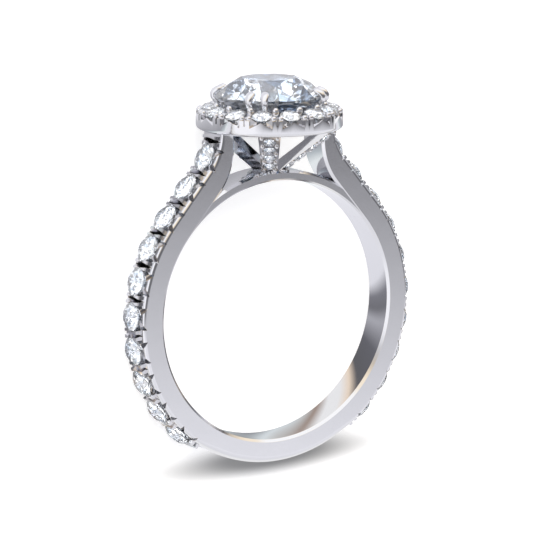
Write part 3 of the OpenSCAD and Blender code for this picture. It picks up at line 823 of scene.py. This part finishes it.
def make_struts(ring, material):
    """Four flat bars up to the halo, with seats and small beads between their stones."""
    bm = bmesh.new()
    slope = ring.strut_slope
    foot = Vector((ring.strut_foot_out, ring.strut_foot_z))
    foot -= Vector((math.cos(slope), math.sin(slope))) * ring.solder
    back = ring.strut_thickness / math.sin(slope)
    top = ring.halo_height + ring.solder
    tip = ring.strut_head - back + ring.solder / math.tan(slope)
    side = [foot, Vector((ring.strut_head, ring.halo_height)), Vector((ring.strut_head, top)),
            Vector((tip, top)), foot - Vector((back, 0))]
    turns = ring.strut_turns()
    for turn in turns:
        old = set(bm.verts)
        prism(bm, [(-0.5, -p.x, p.y) for p in side], (1, 0, 0))
        for v in bm.verts:
            if v not in old:
                v.co.x *= ring.strut_width(-v.co.y)
        place_new(bm, old, turn)
    obj = temp_object("struts", bm)
    bm = bmesh.new()
    for turn in turns:
        for u in ring.strut_us():
            turned(bm, seat_profile(ring, ring.strut_stone), 32, turn @ ring.on_strut(u))
    apply_boolean(obj, bm, "DIFFERENCE", own_overlaps=True)
    bm = bmesh.new()
    bm.from_mesh(obj.data)
    us = ring.strut_us()
    step = ring.strut_pitch / 2
    for turn in turns:
        for u in [us[0] - step] + [u + step for u in us]:
            off = ring.strut_width(ring.strut_foot_out + u * math.cos(slope)) / 2 - ring.strut_bead_inset
            for s in (-1, 1):
                at = Matrix.Translation((s * off, 0, ring.strut_bead_up))
                dome(bm, ring.strut_bead, turn @ ring.on_strut(u) @ at)
    bm.to_mesh(obj.data)
    bm.free()
    return finish_piece(obj, ring, [material], "mounting")


def make_halo(ring, material):
    """Halo's ring with seats, a toothed rim, and slots between its prongs."""
    bm = bmesh.new()
    r, z, b = ring.rim_r, ring.halo_height, ring.halo_round
    arc = [(r - b + b * math.sin(a), z + b - b * math.cos(a))
           for a in (RIGHT_ANGLE * i / 6 for i in range(7))]
    hole = ring.halo_hole_r
    turned(bm, [(hole, z)] + arc + [(r, ring.halo_face(r)), (hole, ring.halo_face(hole))],
           ring.halo_stones * 12, closed=True)
    obj = temp_object("halo", bm)
    bm = bmesh.new()
    for i in range(ring.halo_stones):
        turned(bm, seat_profile(ring, ring.halo_stone), 40, ring.on_halo(i))
    apply_boolean(obj, bm, "DIFFERENCE")
    apply_boolean(obj, tooth_cuts(ring), "DIFFERENCE")
    bm = bmesh.new()
    for i in range(ring.halo_stones):
        turn = Matrix.Rotation(i * ring.halo_step, 4, "Z")
        at = Matrix.Translation((0, -r, ring.halo_face(r) - ring.prong_slot[2] / 2))
        block(bm, ring.prong_slot, turn @ at)
    apply_boolean(obj, bm, "DIFFERENCE")
    bm = bmesh.new()
    bm.from_mesh(obj.data)
    halo_beads(ring, bm)
    bm.to_mesh(obj.data)
    bm.free()
    return finish_piece(obj, ring, [material], "mounting")


def tooth_cuts(ring):
    """Cutters above the rim that leave one tooth, slanted down outwards, at each halo stone."""
    bm = bmesh.new()
    inner, reach = ring.rim_r - ring.tooth_reach, ring.tooth_reach + ring.cut_past
    fall = math.tan(ring.tooth_slant)
    tip = ring.halo_face(ring.rim_r) - ring.tooth_sink + ring.tooth_reach * fall * 0.5
    low, high = tip - ring.tooth_drop, tip + ring.tooth_cut_height
    half = ring.tooth_half_share * ring.halo_stone
    for i in range(ring.halo_stones):
        outline = [(0, tip), (half, low), (half, high), (-half, high), (-half, low)]
        prism(bm, [(x, -inner, z) for x, z in outline], (0, -reach, -reach * fall),
              Matrix.Rotation((i + 0.5) * ring.halo_step, 4, "Z"))
    return bm


def halo_beads(ring, bm):
    """Two beads at the rim and one inside them, between every two halo stones."""
    out = ring.rim_r - ring.bead - ring.bead_inset
    into = ring.halo_hole_r + ring.inner_bead_inset
    tilt = Matrix.Rotation(ring.halo_lean, 4, "X")
    for i in range(ring.halo_stones):
        turn = Matrix.Rotation(i * ring.halo_step, 4, "Z")
        for side in (-1, 1):
            at = Matrix.Translation((side * ring.bead_side, -out, ring.halo_face(out) + ring.bead_up))
            dome(bm, ring.bead, turn @ at @ tilt)
        at = Matrix.Translation((0, -into, ring.halo_face(into) + ring.bead_up))
        dome(bm, ring.inner_bead, turn @ at @ tilt)


def make_claws(ring, material):
    """Four pairs of claws: upright wires that bend in over the centre stone's edge."""
    r, h = ring.stone_r, ring.claw / 2
    # From foot to tip: distance out, height above the girdle, and width as a share of the claw's.
    path = [(ring.halo_hole_r + 0.1, -1.1, 1.0), (ring.halo_hole_r + 0.12, -0.62, 1.0),
            (r - 0.08, -0.28, 0.97), (r + 0.09, -0.06, 0.97), (r + 0.12, 0.1, 1.0),
            (r + 0.02, 0.25, 1.16), (r - 0.16, 0.36, 1.28), (r - 0.3, 0.41, 1.24)]
    points = [Vector((0, -d, ring.girdle + z)) for d, z, _ in path]
    stations = []
    for i, (point, (_, _, wide)) in enumerate(zip(points, path)):
        way = points[min(i + 1, len(points) - 1)] - points[max(i - 1, 0)]
        stations.append((point, way.normalized(), h * wide, h * min(wide, ring.claw_depth_limit)))
    point, way, wide, deep = stations[-1]
    # The tip is rounded, and stops a little short of a point.
    for i in range(1, ring.claw_tip_steps + 1):
        a = RIGHT_ANGLE * i / (ring.claw_tip_steps + 0.3)
        stations.append((point + way * deep * math.sin(a), way, wide * math.cos(a), deep * math.cos(a)))
    bm = bmesh.new()
    for pair in range(4):
        for side in (-1, 1):
            a = math.pi / 4 + pair * RIGHT_ANGLE + side * math.asin(ring.claw_gap / ring.centre_stone)
            wire(bm, stations, 20, Matrix.Rotation(a, 4, "Z"))
    obj = temp_object("claws", bm)
    bm = bmesh.new()
    d = ring.centre_stone
    big, edge = d / 2 + ring.seat_gap, d * ring.girdle_share / 2 + ring.seat_gap
    top = d * ring.crown_share + edge
    turned(bm, [(0, -edge - big * 2 * ring.pavilion_share), (big, -edge), (big, edge),
                (big * ring.table_share, top), (0, top)], 64, Matrix.Translation((0, 0, ring.girdle)))
    apply_boolean(obj, bm, "DIFFERENCE")
    return finish_piece(obj, ring, [material], "mounting")


def make_centre_stone(ring, material):
    """Round brilliant, cut facet by facet from a blank."""
    d, r = ring.centre_stone, ring.stone_r
    table_r = r * ring.table_share
    edge = d * ring.girdle_share / 2
    top = d * ring.crown_share + edge
    culet = -d * ring.pavilion_share - edge
    slope = (top - edge) / (r - table_r)
    eighth = math.pi / 8
    inner = table_r * math.cos(eighth)
    tip_r = inner + ring.star_share * (r - inner)
    tip_z = top - (tip_r * math.cos(eighth) - table_r) * slope
    low_r = r * (1 - ring.lower_share)
    low_z = culet + low_r * math.cos(eighth) * (-edge - culet) / r

    def point(radius, sixteenths, z):
        a = sixteenths * eighth
        return Vector((radius * math.cos(a), radius * math.sin(a), z))

    cuts = []
    for k in range(8):
        m = 2 * k
        cuts.append((point(table_r, m, top), point(r, m, edge), point(tip_r, m + 1, tip_z)))
        cuts.append((point(table_r, m, top), point(table_r, m + 2, top), point(tip_r, m + 1, tip_z)))
        for n in (m, m + 1):
            cuts.append((point(tip_r, m + 1, tip_z), point(r, n, edge), point(r, n + 1, edge)))
            cuts.append((point(low_r, m + 1, low_z), point(r, n, -edge), point(r, n + 1, -edge)))
        cuts.append((Vector((0, 0, culet)), point(low_r, m + 1, low_z), point(r, m, -edge)))
    bm = bmesh.new()
    blank = Matrix.Translation((0, 0, (top + culet) / 2))
    bmesh.ops.create_cone(bm, cap_ends=True, segments=96, radius1=r, radius2=r, depth=top - culet,
                          matrix=blank)
    for a, b, c in cuts:
        normal = (b - a).cross(c - a).normalized()
        if normal.dot(a) < 0:
            normal.negate()
        made = bmesh.ops.bisect_plane(bm, geom=bm.verts[:] + bm.edges[:] + bm.faces[:], dist=1e-5,
                                      plane_co=a, plane_no=normal, clear_outer=True)["geom_cut"]
        rim = [g for g in made if isinstance(g, bmesh.types.BMEdge) and g.is_boundary]
        bmesh.ops.holes_fill(bm, edges=rim, sides=0)
    bmesh.ops.remove_doubles(bm, verts=bm.verts[:], dist=1e-4)
    bmesh.ops.recalc_face_normals(bm, faces=bm.faces[:])
    bmesh.ops.translate(bm, vec=(0, 0, ring.girdle), verts=bm.verts[:])
    obj = temp_object("brilliant", bm)
    return finish_piece(obj, ring, [material], "centre_stone", smooth_under=2)


# ---- operators ----


class PieceOperator:
    """What all the operators that build a piece share."""

    bl_options = {"REGISTER", "UNDO"}

    def execute(self, context):
        self.build(Ring(context.scene), context.scene.halo_ring_finish)
        return {"FINISHED"}


class HALORING_OT_band(PieceOperator, bpy.types.Operator):
    """Build the band and its shoulders"""

    bl_idname = "halo_ring.band"
    bl_label = "Band"

    def build(self, ring, finish):
        make_band(ring, band_gold(finish))


class HALORING_OT_bridge(PieceOperator, bpy.types.Operator):
    """Build the inner ring under the head"""

    bl_idname = "halo_ring.bridge"
    bl_label = "Bridge"

    def build(self, ring, finish):
        make_bridge(ring, band_gold(finish))


class HALORING_OT_struts(PieceOperator, bpy.types.Operator):
    """Build the four struts under the halo"""

    bl_idname = "halo_ring.struts"
    bl_label = "Struts"

    def build(self, ring, finish):
        make_struts(ring, head_gold(finish))


class HALORING_OT_halo(PieceOperator, bpy.types.Operator):
    """Build the halo's ring with its beads"""

    bl_idname = "halo_ring.halo"
    bl_label = "Halo"

    def build(self, ring, finish):
        make_halo(ring, head_gold(finish))


class HALORING_OT_claws(PieceOperator, bpy.types.Operator):
    """Build the four pairs of claws"""

    bl_idname = "halo_ring.claws"
    bl_label = "Claws"

    def build(self, ring, finish):
        make_claws(ring, head_gold(finish))


class HALORING_OT_centre_stone(PieceOperator, bpy.types.Operator):
    """Cut the centre stone"""

    bl_idname = "halo_ring.centre_stone"
    bl_label = "Centre stone"

    def build(self, ring, finish):
        make_centre_stone(ring, diamond("diamond_centre", finish))


class HALORING_OT_small_stones(PieceOperator, bpy.types.Operator):
    """Give the small stones of the frame their material"""

    bl_idname = "halo_ring.small_stones"
    bl_label = "Small stones"

    def build(self, ring, finish):
        material = diamond("diamond_small", finish, sliver=3200.0, depth=0.35)
        for node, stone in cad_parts.items():
            if "stone" in node and node != "centre_stone":
                for slot in stone.material_slots:
                    slot.material = material


class HALORING_OT_stage(bpy.types.Operator):
    """Set up the floor, the lights, the surroundings and the camera"""

    bl_idname = "halo_ring.stage"
    bl_label = "Stage"

    def execute(self, context):
        make_floor(context.scene.halo_ring_finish)
        make_lights()
        ring = Ring(context.scene)
        make_world(context.scene, ring)
        make_camera(context.scene, ring)
        return {"FINISHED"}


def make_floor(finish):
    bm = bmesh.new()
    bmesh.ops.create_grid(bm, x_segments=1, y_segments=1, size=1.5)
    floor = temp_object("floor", bm)
    floor.data.materials.append(floor_material(finish))


def make_lights():
    """Large soft lights: direction, distance, size and power."""
    for name, way, distance, size, power in (
        ("key", (-0.35, 0.35, 0.87), 0.45, 0.22, 0.7),
        ("fill", (0.75, 0.45, 0.5), 0.45, 0.22, 0.2),
    ):
        light = bpy.data.lights.new(name, "AREA")
        light.shape = "DISK"
        light.size = size
        light.energy = power
        lamp = bpy.data.objects.new(name, light)
        bpy.context.scene.collection.objects.link(lamp)
        lamp.visible_glossy = False
        way = Vector(way).normalized()
        lamp.matrix_world = (Matrix.Translation(way * distance)
                             @ way.to_track_quat("Z", "Y").to_matrix().to_4x4())


def make_world(scene, ring):
    """Studio surroundings of the upright ring.

    They are pale below it, dark grey level with it, warm and then white above, and a pale screen
    stands on its left. Light that comes through a stone meets glints instead.
    """
    world = bpy.data.worlds.new("surroundings")
    world.use_nodes = True
    tree = world.node_tree
    way = add_node(tree, "ShaderNodeTexCoord").outputs["Generated"]
    upright = add_node(tree, "ShaderNodeMapping", {"Vector": way}, vector_type="VECTOR")
    upright.inputs["Rotation"].default_value = ring.stand.inverted().to_euler()
    parts = add_node(tree, "ShaderNodeSeparateXYZ", {0: upright.outputs[0]}).outputs
    level = add_node(tree, "ShaderNodeMapRange", {0: parts["Z"], 1: -1.0, 2: 1.0, 3: 0.0, 4: 1.0})
    ramp = add_node(tree, "ShaderNodeValToRGB", {0: level.outputs[0]})
    set_ramp(ramp, ((0.0, (0.72, 0.72, 0.75, 1)), (0.37, (0.82, 0.82, 0.86, 1)),
                    (0.432, (0.17, 0.17, 0.18, 1)), (0.66, (0.13, 0.13, 0.14, 1)),
                    (0.81, (0.97, 0.84, 0.66, 1)), (0.85, (0.97, 0.86, 0.7, 1)),
                    (0.88, (1.0, 1.0, 1.0, 1))), "LINEAR")
    left = add_node(tree, "ShaderNodeMapRange", {0: parts["X"], 1: -0.65, 2: -0.8, 3: 0.0, 4: 1.0})
    screen = mixed(tree, left.outputs[0], ramp.outputs[0], (0.95, 0.95, 0.98, 1))
    soft = add_node(tree, "ShaderNodeVectorMath", {0: screen, 3: 1.2}, operation="SCALE")
    glints = add_node(tree, "ShaderNodeGroup", node_tree=painted_glint_group())
    tree.links.new(way, glints.inputs["Place"])
    path = add_node(tree, "ShaderNodeLightPath")
    seen = mixed(tree, path.outputs["Is Transmission Ray"], soft.outputs[0], glints.outputs["Light"])
    tree.links.new(seen, tree.nodes["Background"].inputs["Color"])
    scene.world = world


def make_camera(scene, ring):
    """Camera at the photograph's angle to the ring."""
    turn, rise = math.radians(CAMERA_TURN), math.radians(CAMERA_RISE)
    back = Vector((-math.sin(turn) * math.cos(rise), -math.cos(turn) * math.cos(rise), math.sin(rise)))
    right = Vector((math.cos(turn), -math.sin(turn), 0))
    up = back.cross(right)
    to_right, to_up, to_back = CAMERA_PLACE
    at = (back * to_back + right * to_right + up * to_up) * MM
    fit = Matrix((right, up, back)).transposed().to_4x4()
    data = bpy.data.cameras.new("camera")
    data.sensor_width = 36
    data.lens = CAMERA_LENS
    data.clip_start = 0.01
    camera = bpy.data.objects.new("camera", data)
    scene.collection.objects.link(camera)
    camera.matrix_world = ring.stand @ Matrix.Translation(at) @ fit
    scene.camera = camera
    scene.view_settings.view_transform = "Standard"


class HALORING_PT_panel(bpy.types.Panel):
    """Sizes, colours and steps of the ring"""

    bl_label = "Halo ring"
    bl_idname = "HALORING_PT_panel"
    bl_space_type = "VIEW_3D"
    bl_region_type = "UI"
    bl_category = "Halo ring"

    def draw(self, context):
        for title, group in (
            ("Band", context.scene.halo_ring_band),
            ("Head", context.scene.halo_ring_head),
            ("Finish", context.scene.halo_ring_finish),
        ):
            box = self.layout.box()
            box.label(text=title)
            for key in group.__annotations__:
                box.prop(group, key)
        column = self.layout.column(align=True)
        for operator in OPERATORS:
            column.operator(operator.bl_idname)


GROUPS = {"halo_ring_band": BandSizes, "halo_ring_head": HeadSizes, "halo_ring_finish": Finish}
OPERATORS = (
    HALORING_OT_band,
    HALORING_OT_bridge,
    HALORING_OT_struts,
    HALORING_OT_halo,
    HALORING_OT_claws,
    HALORING_OT_centre_stone,
    HALORING_OT_small_stones,
    HALORING_OT_stage,
)


def register():
    for cls in (*GROUPS.values(), *OPERATORS, HALORING_PT_panel):
        bpy.utils.register_class(cls)
    for name, group in GROUPS.items():
        setattr(bpy.types.Scene, name, PointerProperty(type=group))


def unregister():
    for name in GROUPS:
        delattr(bpy.types.Scene, name)
    for cls in reversed((*GROUPS.values(), *OPERATORS, HALORING_PT_panel)):
        bpy.utils.unregister_class(cls)


def main():
    register()
    for operator in OPERATORS:
        section, name = operator.bl_idname.split(".")
        getattr(getattr(bpy.ops, section), name)()


if __name__ == "__main__":
    main()
